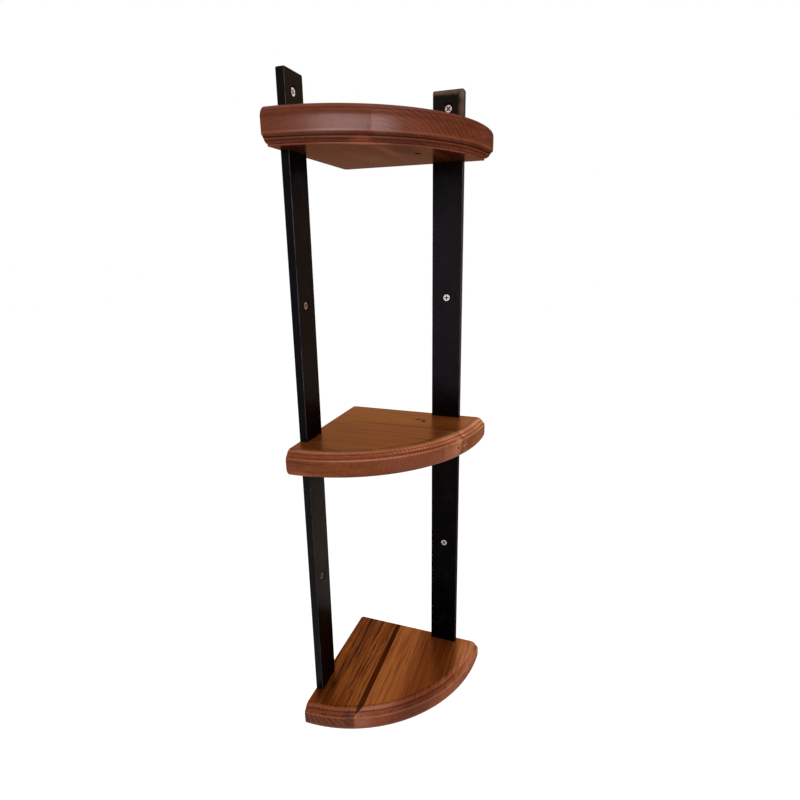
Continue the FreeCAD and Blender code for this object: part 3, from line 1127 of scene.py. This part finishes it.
def top_shelf() -> Boards:
    """Give the top shelf, moulded below.

    Returns:
        The shelf's boards.
    """
    alike = {
        "fineness": 1.0, "dark": tint(48, 17, 6), "cloud_depth": 0.5, "stripes": MOULDED_BELOW,
        "face_shade": (0.36, 0.0, 0.0), "satin": (0.4, 0.04, 0.48), "mirror": (0.68, 0.37, 0.24),
        "wax": (0.0, 0.22, 0.08)}
    left = WoodFinish(
        "top_left_wood", tree_middle=(110.0, -350.0), ring_width=5.6, wander=5.0, seed=1.3,
        middle=tint(107, 54, 31), light=tint(136, 80, 52), ring_depth=0.05, **alike,
        polish=(
            Patch((70.0, -180.0, 740.0), (92.0, 34.0, 13.0), NO_COLOUR, 0.5, 0.7, 2.0),
            Patch((70.0, -180.0, 733.4), (62.0, 40.0, 1.6), NO_COLOUR, 0.7, 0.7, 0.2),
        ),
        patches=(
            Patch((94.0, -164.0, 721.4), (18.0, 18.0, 10.4), tint(156, 84, 54), 0.55, 0.55, 2.5),
            Patch((88.5, -166.0, 725.6), (2.6, 3.0, 0.8), tint(84, 30, 12), 0.7, 0.6),
            Patch((101.0, -110.0, 723.0), (8.0, 62.0, 3.0), tint(152, 98, 66), 0.55, 0.9),
            Patch((64.0, -70.0, 723.0), (26.0, 60.0, 3.0), tint(150, 100, 64), 0.3, 0.9, 6.0),
            Patch((102.6, -165.0, 736.6), (1.4, 4.0, 3.2), tint(56, 24, 18), 0.6, 0.8, 2.0),
            Patch((103.8, -165.0, 740.0), (0.8, 4.0, 8.0), tint(84, 46, 36), 0.4, 0.8),
        ))
    right = WoodFinish(
        "top_right_wood", tree_middle=(118.0, -12.0), ring_width=3.4, wander=3.0, seed=2.1,
        middle=tint(101, 51, 31), light=tint(146, 86, 60), ring_depth=0.2, end_shade=-0.12, fibre_depth=0.45,
        ring_reach=(0.08, 0.42), wax_end=(120.0, 186.0), **alike,
        polish=(
            Patch((102.0, -160.0, 740.0), (56.0, 40.0, 13.0), NO_COLOUR, 0.6, 0.8, 2.0),
            Patch((106.0, -160.0, 733.4), (60.0, 50.0, 1.6), NO_COLOUR, 0.3, 0.7, 0.2),
        ),
        patches=(
            Patch((122.0, -112.0, 723.0), (17.0, 50.0, 6.0), tint(84, 48, 30), 0.7, 0.8, 5.0, 0.3),
            Patch((146.0, -70.0, 723.0), (8.0, 60.0, 6.0), tint(150, 96, 62), 0.3, 0.9, 4.0),
            Patch((126.2, -81.2, 723.0), (5.4, 6.4, 4.0), tint(24, 8, 3), 0.95, 0.6, 2.0, 0.9),
            Patch((108.4, -60.0, 723.0), (3.0, 34.0, 3.0), tint(152, 98, 66), 0.5, 0.9),
        ))
    return Boards(Level.TOP, (-4.0, -104.0), {"top_shelf_left_board": left, "top_shelf_right_board": right})


def middle_shelf() -> Boards:
    """Give the middle shelf, with a knot behind and a filled place in the front edge.

    Returns:
        The shelf's boards.
    """
    alike = {
        "ring_width": 3.2, "wander": 5.0, "fineness": 1.0, "wax_end": (168.0, 200.0),
        "polish": (
            Patch((100.0, -100.0, 389.4), (300.0, 300.0, 1.7), NO_COLOUR, 0.5, 0.8, 0.2),
            Patch((100.0, -100.0, 396.4), (300.0, 300.0, 1.6), NO_COLOUR, 0.35, 0.8, 0.2),
            Patch((56.0, -184.0, 396.2), (76.0, 40.0, 1.8), NO_COLOUR, 0.6, 0.7, 0.3),
        )}
    back = WoodFinish(
        "middle_back_wood", tree_middle=(160.0, -60.0), seed=3.7,
        dark=tint(74, 26, 3), middle=tint(126, 67, 21), light=tint(150, 92, 40), ring_depth=-0.2,
        ring_faces=(0.1, 1.0), ring_reach=(0.3, 0.55), tick_strength=1.0, tick=tint(208, 136, 92),
        groove=tint(98, 46, 24), ridge=tint(134, 76, 48), face_shade=(0.0, 0.08, 0.0), wax=(0.0, 0.26, 0.08),
        **alike,
        patches=(
            Patch((119.4, -38.6, 398.0), (3.4, 5.6, 3.0), tint(12, 3, 1), 1.0, 0.5, 1.0, 1.0),
            Patch((110.5, -34.5, 398.0), (9.0, 3.2, 2.0), tint(40, 12, 3), 1.0, 0.7, 3.5, 0.8),
            Patch((96.0, -64.0, 398.0), (230.0, 2.6, 2.0), tint(72, 28, 8), 0.5, 0.9, 0.6),
            Patch((184.0, -24.0, 399.0), (24.0, 60.0, 6.0), tint(170, 114, 76), 0.35, 0.9, 4.0),
            Patch((196.0, -26.0, 377.0), (14.0, 52.0, 20.0), tint(158, 104, 70), 0.75, 0.8, 2.0),
            Patch((184.6, -63.4, 380.9), (3.0, 3.4, 1.3), tint(226, 170, 132), 0.8, 0.8, 1.0),
            Patch((185.4, -60.4, 381.0), (1.9, 1.9, 1.6), tint(44, 16, 8), 0.85, 0.6),
            Patch((190.0, -40.0, 394.0), (16.0, 60.0, 7.0), tint(186, 124, 86), 0.3, 0.9, 3.0),
        ))
    front = WoodFinish(
        "middle_front_wood", tree_middle=(150.0, -40.0), seed=4.9,
        dark=tint(70, 24, 4), middle=tint(118, 61, 23), light=tint(142, 84, 42), ring_depth=-0.1,
        ring_faces=(0.12, 1.0), ring_reach=(0.42, 0.7), tick_strength=0.7, face_shade=(0.0, 0.15, 0.0),
        groove=tint(124, 56, 26), ridge=tint(166, 96, 62), wax=(0.0, 0.3, 0.08), **alike,
        patches=(
            Patch((96.0, -67.2, 398.0), (230.0, 1.2, 2.0), tint(48, 16, 4), 0.9, 0.7, 0.5, 0.4),
            Patch((100.0, -70.6, 398.0), (150.0, 1.6, 2.0), tint(170, 108, 56), 0.35, 0.8, 0.8),
            # Painted sheen: a mauve reflection of light on the front edge.
            Patch((130.0, -136.0, 381.0), (62.0, 62.0, 15.0), tint(124, 66, 54), 0.4, 0.9, 3.0),
            Patch((160.0, -106.0, 380.0), (20.0, 26.0, 18.0), tint(150, 84, 52), 0.55, 0.9, 6.0),
            Patch((172.0, -91.0, 379.0), (20.0, 24.0, 24.0), tint(190, 122, 82), 0.55, 0.95, 12.0),
            Patch((177.0, -81.0, 380.0), (9.0, 13.0, 17.0), tint(206, 140, 98), 0.6, 0.95, 8.0),
            Patch((170.0, -94.0, 388.0), (3.0, 6.0, 9.0), tint(120, 62, 36), 0.6, 0.9, 7.0),
            Patch((164.0, -104.0, 382.0), (2.6, 4.6, 12.0), tint(112, 56, 30), 0.6, 0.9, 7.0),
            Patch((178.0, -76.0, 390.0), (6.0, 8.0, 8.0), tint(214, 146, 104), 0.7, 0.9, 5.0),
            Patch((184.0, -66.4, 379.0), (5.0, 6.4, 21.0), tint(146, 92, 60), 0.9, 0.45, 2.5),
            Patch((182.4, -68.4, 380.6), (4.0, 4.4, 1.2), tint(226, 170, 132), 0.8, 0.8, 1.0),
            Patch((177.9, -79.8, 380.9), (2.0, 2.2, 2.2), tint(36, 14, 8), 0.95, 0.6),
            Patch((172.0, -90.0, 396.0), (24.0, 34.0, 6.0), tint(186, 120, 82), 0.3, 0.9, 3.0),
            Patch((10.0, -192.0, 384.0), (50.0, 20.0, 13.0), tint(104, 54, 33), 0.45, 0.9, 3.0),
            Patch((63.7, -179.0, 397.0), (2.8, 3.4, 2.4), tint(26, 9, 4), 0.95, 0.6),
            Patch((20.0, -194.0, 368.0), (24.0, 9.0, 5.0), tint(176, 92, 46), 0.5, 0.9, 3.0),
            # Painted shade along the lower round-over of the front edge.
            Patch((100.0, -100.0, 364.0), (260.0, 260.0, 6.0), tint(66, 28, 14), 0.5, 0.8, 1.5),
        ))
    return Boards(Level.MIDDLE, (174.0, 2.0), {
        "middle_shelf_back_board": back, "middle_shelf_front_board": front})


def bottom_shelf() -> Boards:
    """Give the bottom shelf, with the dark fill between its boards.

    Returns:
        The shelf's boards.
    """
    shine = (
        Patch((100.0, -100.0, 24.4), (300.0, 300.0, 1.7), NO_COLOUR, 0.45, 0.8, 0.2),
        Patch((88.0, -170.0, 31.4), (46.0, 50.0, 1.6), NO_COLOUR, 0.7, 0.8, 0.2),
    )
    left = WoodFinish(
        "bottom_left_wood", tree_middle=(84.0, 50.0), ring_width=7.5, wander=14.0, fineness=1.7, seed=5.2,
        dark=tint(46, 14, 1), middle=tint(112, 54, 15), light=tint(152, 88, 36), ring_depth=0.28,
        streak_depth=1.6, cloud_depth=0.6, vein_depth=0.5, end_shade=0.02, end_calm=0.12,
        groove=tint(104, 50, 30), ridge=tint(146, 84, 58), wax=(0.0, 0.32, 0.08), polish=shine,
        patches=(
            Patch((58.0, -183.0, 18.0), (9.0, 9.0, 26.0), tint(78, 32, 15), 0.75, 0.75, 6.0),
            Patch((57.0, -181.0, 30.0), (2.4, 4.0, 5.0), tint(56, 20, 8), 0.45, 0.9, 1.5),
            Patch((20.2, -146.6, 33.0), (5.0, 12.0, 3.0), tint(40, 12, 2), 0.5, 0.9, 4.0),
        ))
    right = WoodFinish(
        "bottom_right_wood", tree_middle=(130.0, -220.0), ring_width=3.2, wander=8.0, fineness=1.3, seed=6.4,
        dark=tint(92, 36, 6), middle=tint(148, 84, 37), light=tint(172, 108, 58), ring_depth=0.14,
        streak_depth=1.2, vein_depth=0.3, end_calm=0.2, face_shade=(0.0, 0.18, 0.0),
        groove=tint(106, 52, 34), ridge=tint(168, 104, 76), wax=(0.0, 0.32, 0.08), wax_end=(170.0, 205.0),
        polish=shine, zone_span=(66.0, 190.0),
        # The dark band of these zones, in front of the right bar, is a painted reflection of the bar; the rest is
        # the wood's own tone.
        tone_and_reflection_zones=(
            (0.0, (0.9, 0.85, 0.8)), (0.15, (1.0, 1.0, 1.0)), (0.27, (0.95, 0.9, 0.85)),
            (0.45, (0.5, 0.36, 0.24)), (0.68, (0.55, 0.4, 0.28)), (0.85, (1.0, 0.97, 0.98))),
        patches=(
            Patch((72.0, -180.0, 19.0), (30.0, 18.0, 17.0), tint(172, 112, 84), 0.8, 0.8, 3.0),
            Patch((188.0, -26.0, 30.0), (28.0, 66.0, 14.0), tint(200, 130, 94), 0.5, 0.9, 4.0),
            # Painted highlight: a pale mauve sheen on the front edge near the right end.
            Patch((182.3, -69.3, 14.0), (12.0, 20.0, 10.0), tint(140, 88, 78), 0.6, 0.9, 3.0),
        ))
    fill = WoodFinish(
        "dark_fill_wood", tree_middle=(40.0, -80.0), ring_width=2.6, wander=4.0, fineness=1.0, seed=7.7,
        dark=tint(36, 12, 2), middle=tint(64, 27, 8), light=tint(92, 46, 20), ring_depth=0.1,
        streak_depth=1.1, cloud_depth=1.4, groove=tint(46, 17, 5), ridge=tint(58, 24, 8),
        satin=(0.1, 0.04, 0.3), wax=(0.0, 0.1, 0.0))
    return Boards(Level.BOTTOM, (6.0, -168.0), {
        "bottom_shelf_left_board": left, "bottom_shelf_right_board": right, "bottom_shelf_dark_fill": fill})


@dataclass
class Bars:
    """The two flat steel bars."""

    # Each bar's tones by height are painted shade next to the shelves and painted reflections between them; its
    # edge and narrow-side colours are a painted highlight and a painted reflection.
    finishes: dict[str, SteelFinish] = field(default_factory=lambda: {
        "right_bar": SteelFinish(
            "right_bar_paint",
            ((40.0, tint(1, 1, 1)), (220.0, tint(4, 3, 3)), (340.0, tint(8, 6, 6)), (400.0, tint(2, 1, 2)),
             (470.0, tint(14, 11, 16)), (640.0, tint(18, 15, 20)), (700.0, tint(5, 4, 4)),
             (775.0, tint(12, 7, 2))),
            gloss_low=0.03, gloss_high=0.13, arris_highlight=tint(92, 66, 54), narrow_side_reflection=tint(26, 16, 13),
            pale_band_top=801.5, pale_band_side=160.5),
        "left_bar": SteelFinish(
            "left_bar_paint",
            ((50.0, tint(8, 2, 1)), (150.0, tint(14, 5, 2)), (230.0, tint(30, 19, 12)),
             (330.0, tint(22, 12, 6)), (405.0, tint(4, 1, 1)), (470.0, tint(24, 13, 4)),
             (660.0, tint(22, 11, 4)), (705.0, tint(3, 1, 1)), (775.0, tint(34, 21, 9))),
            gloss_low=0.11, gloss_high=0.055, across=(0.0, 1.0, 0.0)),
    })

    def dress(self) -> None:
        """Paint both bars."""
        for node, finish in self.finishes.items():
            coat(node, finish.build())


class Workshop:
    """Blender's own modelling tools, used as by hand. Sizes are in millimetres."""

    @staticmethod
    def pick(piece: bpy.types.Object) -> None:
        """Select one object alone and make it active.

        Args:
            piece: the object.
        """
        bpy.ops.object.select_all(action="DESELECT")
        piece.select_set(True)
        bpy.context.view_layer.objects.active = piece

    @staticmethod
    def turned(name: str, steps: tuple[Pair, ...], corners: int = 40) -> bpy.types.Object:
        """Turn a solid about the Z axis: a disc, extruded and resized step by step.

        Args:
            name: the new object's name.
            steps: pairs of radius and height, from the top down.
            corners: corners of the disc.

        Returns:
            The solid.
        """
        radius, height = steps[0]
        bpy.ops.object.select_all(action="DESELECT")
        bpy.ops.mesh.primitive_circle_add(
            vertices=corners, radius=radius * MM, fill_type="NGON", location=(0.0, 0.0, height * MM))
        solid = bpy.context.object
        solid.name = name
        bpy.ops.object.transform_apply(location=True)
        bpy.ops.object.mode_set(mode="EDIT")
        bpy.ops.mesh.select_all(action="SELECT")
        for next_radius, next_height in steps[1:]:
            bpy.ops.mesh.extrude_region_move(
                TRANSFORM_OT_translate={"value": (0.0, 0.0, (next_height - height) * MM)})
            share = next_radius / radius
            bpy.ops.transform.resize(value=(share, share, 1.0))
            radius, height = next_radius, next_height
        Workshop.face_outward()
        return solid

    @staticmethod
    def face_outward() -> None:
        """Point all faces of the mesh in edit mode outward, and leave edit mode."""
        bpy.ops.mesh.select_all(action="SELECT")
        bpy.ops.mesh.normals_make_consistent(inside=False)
        bpy.ops.object.mode_set(mode="OBJECT")

    @staticmethod
    def choose(piece: bpy.types.Object, wanted: set[int]) -> None:
        """Select some corners of a mesh, and go into edit mode.

        Args:
            piece: the active mesh.
            wanted: numbers of the corners.
        """
        bpy.ops.object.mode_set(mode="EDIT")
        bpy.ops.mesh.select_all(action="DESELECT")
        bpy.ops.object.mode_set(mode="OBJECT")
        for corner in piece.data.vertices:
            corner.select = corner.index in wanted
        bpy.ops.object.mode_set(mode="EDIT")

    @staticmethod
    def combine(piece: bpy.types.Object, tool: bpy.types.Object, operation: str) -> None:
        """Unite a piece with a tool, cut it or keep what both share, and take the tool away.

        Args:
            piece: the piece that stays.
            tool: the other solid.
            operation: UNION, DIFFERENCE or INTERSECT.
        """
        change = piece.modifiers.new("combine", "BOOLEAN")
        change.operation = operation
        change.solver = "EXACT"
        change.object = tool
        bpy.context.view_layer.objects.active = piece
        bpy.ops.object.modifier_apply(modifier=change.name)
        bpy.data.objects.remove(tool)


@dataclass
class ScrewForm:
    """A countersunk cross-recess screw that points down from its head at the origin.

    Sizes are in millimetres. A triangle's height is triangle_rise times the radius round its corners.
    """

    name: str
    length: float
    plain: float
    head: float = 4.2
    rim: float = 0.3
    ease: float = 0.12
    shank: float = 1.55
    core: float = 1.42
    crest: float = 2.1
    pitch: float = 1.5
    tip: float = 3.5
    point: float = 0.2
    thread_root: float = 0.2
    triangle_rise: float = 1.5
    thread_steps: int = 24
    room_corners: int = 36
    recess_span: float = 7.2
    recess_width: float = 1.6
    recess_depth: float = 1.7
    recess_foot: Pair = (0.8, 0.36)
    recess_share: float = 0.55
    cutter_rise: float = 0.6
    bite: float = 0.04
    smooth_angle: float = 32.0

    def build(self) -> bpy.types.Object:
        """Make the screw.

        Returns:
            The finished screw, with its recess as the second material slot.
        """
        cone_end = self.rim + self.head - self.shank
        screw = Workshop.turned(self.name, (
            (self.head - self.ease, 0.0), (self.head, -self.ease), (self.head, -self.rim),
            (self.shank, -cone_end), (self.shank, -self.plain), (self.core, -self.plain - self.ease),
            (self.core, self.tip - self.length), (self.point, -self.length)))
        Workshop.combine(screw, self.thread(), "UNION")
        for slot_name in ("outside", "recess"):
            screw.data.materials.append(bpy.data.materials.new(slot_name))
        for quarter in (0.0, 90.0):
            Workshop.combine(screw, self.recess_arm(quarter), "DIFFERENCE")
        self.mark_recess(screw)
        Workshop.pick(screw)
        bpy.ops.object.shade_smooth_by_angle(angle=math.radians(self.smooth_angle))
        return screw

    def thread(self) -> bpy.types.Object:
        """Wind a sharp ridge round the core, and trim it to the point.

        Returns:
            The thread.
        """
        size = (self.crest - self.core + self.thread_root) / self.triangle_rise
        start = -self.plain - size
        bpy.ops.object.select_all(action="DESELECT")
        bpy.ops.mesh.primitive_circle_add(
            vertices=3, radius=size * MM, fill_type="NOTHING", rotation=(math.pi / 2, math.pi / 2, 0.0),
            location=((self.crest - size) * MM, 0.0, start * MM))
        ridge = bpy.context.object
        ridge.name = self.name + "_thread"
        bpy.ops.object.transform_apply(location=True, rotation=True)
        section = len(ridge.data.vertices)
        winding = ridge.modifiers.new("winding", "SCREW")
        winding.axis = "Z"
        winding.screw_offset = -self.pitch * MM
        winding.iterations = math.ceil((self.length - self.plain) / self.pitch)
        winding.steps = winding.render_steps = self.thread_steps
        bpy.ops.object.modifier_apply(modifier=winding.name)
        count = len(ridge.data.vertices)
        for corners in (range(section), range(count - section, count)):
            Workshop.choose(ridge, set(corners))
            bpy.ops.mesh.edge_face_add()
            bpy.ops.object.mode_set(mode="OBJECT")
        bpy.ops.object.mode_set(mode="EDIT")
        Workshop.face_outward()
        room = Workshop.turned(self.name + "_room", (
            (self.crest, -self.plain - self.bite), (self.crest, self.tip - self.length),
            (self.point, self.bite - self.length)), self.room_corners)
        Workshop.combine(ridge, room, "INTERSECT")
        return ridge

    def recess_arm(self, quarter: float) -> bpy.types.Object:
        """Make the cutter of one arm of the recess, narrower at its foot.

        Args:
            quarter: the arm's turn in degrees.

        Returns:
            The cutter.
        """
        height = self.recess_depth + self.cutter_rise
        bpy.ops.object.select_all(action="DESELECT")
        bpy.ops.mesh.primitive_cube_add(
            size=1.0, scale=(self.recess_span * MM, self.recess_width * MM, height * MM),
            location=(0.0, 0.0, (self.cutter_rise - height / 2) * MM), rotation=(0.0, 0.0, math.radians(quarter)))
        arm = bpy.context.object
        arm.name = self.name + "_arm"
        bpy.ops.object.transform_apply(location=True, rotation=True, scale=True)
        Workshop.choose(arm, {corner.index for corner in arm.data.vertices if corner.co.z < 0.0})
        span, width = self.recess_foot
        bpy.ops.transform.resize(value=(width, span, 1.0) if quarter == 0.0 else (span, width, 1.0))
        Workshop.face_outward()
        return arm

    def mark_recess(self, screw: bpy.types.Object) -> None:
        """Give the faces inside the recess the second material slot.

        Args:
            screw: the screw.
        """
        for face in screw.data.polygons:
            middle = face.center
            deep = -(self.recess_depth + self.ease) * MM < middle.z < -self.bite * MM
            central = math.hypot(middle.x, middle.y) < self.recess_share * self.recess_span * MM
            face.material_index = 1 if deep and central else 0


class Way(Enum):
    """The four ways that the screws point.

    Each has the turns about X and Y that carry straight down onto the way, and the axis and end of the
    screw's box where its head is.
    """

    INTO_RIGHT_WALL = (90.0, 0.0, 1, "low")
    INTO_LEFT_WALL = (0.0, 90.0, 0, "high")
    OUT_OF_RIGHT_WALL = (-90.0, 0.0, 1, "high")
    OUT_OF_LEFT_WALL = (0.0, -90.0, 0, "low")

    def head_place(self, low: Vector, high: Vector) -> Vector:
        """Give the middle of a screw head's top from the corners of the screw's box.

        Args:
            low: lowest corner.
            high: highest corner.

        Returns:
            The middle of the head's top.
        """
        _, _, axis, end = self.value
        place = (low + high) / 2
        place[axis] = (low if end == "low" else high)[axis]
        return place

    def laid(self, turn: float) -> Matrix:
        """Give the rotation that lays a screw along the way.

        Args:
            turn: its turn about its own axis, in degrees.

        Returns:
            The rotation.
        """
        tilt_x, tilt_y, _, _ = self.value
        across = Matrix.Rotation(math.radians(tilt_y), 4, "Y") @ Matrix.Rotation(math.radians(tilt_x), 4, "X")
        return across @ Matrix.Rotation(math.radians(turn), 4, "Z")


@dataclass
class Screws:
    """All the screws: six that hold the bars to the walls, twelve that hold the shelves."""

    wall_form: ScrewForm = field(default_factory=lambda: ScrewForm("wall_screw_form", 16.0, 8.53))
    shelf_form: ScrewForm = field(default_factory=lambda: ScrewForm("shelf_screw_form", 32.0, 9.83))
    # The recess finish is dark: painted shade in the cross recess.
    recess: ZincFinish = ZincFinish("recess_painted_shade", tint(30, 23, 21), tint(10, 7, 6), 0.6, 0.1)
    # Each wall screw's own colours are painted light on the zinc: the brightest a painted highlight, the darker
    # ones painted shade, and the warm and pink ones painted reflections of the surroundings.
    plating_and_painted_light: dict[str, ZincFinish] = field(default_factory=lambda: {
        "right_wall_screw_top": ZincFinish("zinc_with_painted_pink_reflection", tint(204, 184, 184), tint(148, 128, 126)),
        "right_wall_screw_middle": ZincFinish("bright_zinc", tint(238, 234, 232), tint(190, 182, 178)),
        "right_wall_screw_bottom": ZincFinish("zinc_with_painted_shade", tint(206, 200, 198), tint(110, 104, 102)),
        "left_wall_screw_top": ZincFinish("zinc_with_painted_warm_highlight", tint(255, 254, 252), tint(246, 232, 220), 0.45, 0.0),
        "left_wall_screw_middle": ZincFinish("zinc_with_painted_copper_reflection", tint(196, 156, 128), tint(120, 82, 58)),
        "left_wall_screw_bottom": ZincFinish("zinc_with_painted_warm_shade", tint(150, 132, 120), tint(90, 74, 64)),
    })
    hidden_plating: ZincFinish = ZincFinish("zinc_plate", tint(214, 206, 202), tint(130, 120, 114))
    turns: dict[str, float] = field(default_factory=lambda: {
        "right_wall_screw_top": 45.0,
        "right_wall_screw_middle": 0.0,
        "right_wall_screw_bottom": 30.0,
        "left_wall_screw_top": -20.0,
        "left_wall_screw_middle": -65.0,
        "left_wall_screw_bottom": -5.0,
    })
    shelf_turn: float = 15.0

    def build(self) -> None:
        """Make the two forms, and put a copy in the place of every screw."""
        recess_shade = self.recess.build()
        plain_zinc = self.hidden_plating.build()
        wall_form, shelf_form = self.wall_form.build(), self.shelf_form.build()
        for node in sorted(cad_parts):
            if "_wall_screw_" in node:
                way = Way.INTO_RIGHT_WALL if node.startswith("right") else Way.INTO_LEFT_WALL
                self.drive(wall_form, node, way, self.turns[node], (self.plating_and_painted_light[node].build(), recess_shade))
            elif node.endswith("_screw"):
                way = Way.OUT_OF_RIGHT_WALL if "_right_" in node else Way.OUT_OF_LEFT_WALL
                self.drive(shelf_form, node, way, self.shelf_turn, (plain_zinc, recess_shade))
        for form in (wall_form, shelf_form):
            bpy.data.objects.remove(form)

    def drive(
            self, form: bpy.types.Object, node: str, way: Way, turn: float,
            finishes: tuple[bpy.types.Material, bpy.types.Material]) -> None:
        """Put a copy of a form in a CAD screw's place.

        Args:
            form: the screw to copy.
            node: the CAD screw that the copy replaces.
            way: where it points.
            turn: its turn about its own axis, in degrees.
            finishes: of the outside and of the recess.
        """
        screw = form.copy()
        screw.data = form.data.copy()
        screw.name = node + "_threaded"
        bpy.context.scene.collection.objects.link(screw)
        low, high = (Vector(corner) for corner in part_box(node))
        screw.matrix_world = Matrix.Translation(way.head_place(low, high)) @ way.laid(turn)
        Workshop.pick(screw)
        bpy.ops.object.transform_apply(location=True, rotation=True)
        for slot, finish in enumerate(finishes):
            screw.material_slots[slot].material = finish
        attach(screw, "root")
        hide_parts(node)
        log.info("%s: %s", node, finishes[0].name)


def main() -> None:
    """Build the view, the studio and the finishes in order."""
    logging.basicConfig(level=logging.INFO, format="%(name)s %(message)s")
    bpy.context.scene.view_settings.view_transform = "Standard"
    Viewpoint().build()
    Studio().build()
    for shelf in (top_shelf(), middle_shelf(), bottom_shelf()):
        shelf.dress()
    Bars().dress()
    Screws().build()


if __name__ == "__main__":
    main()
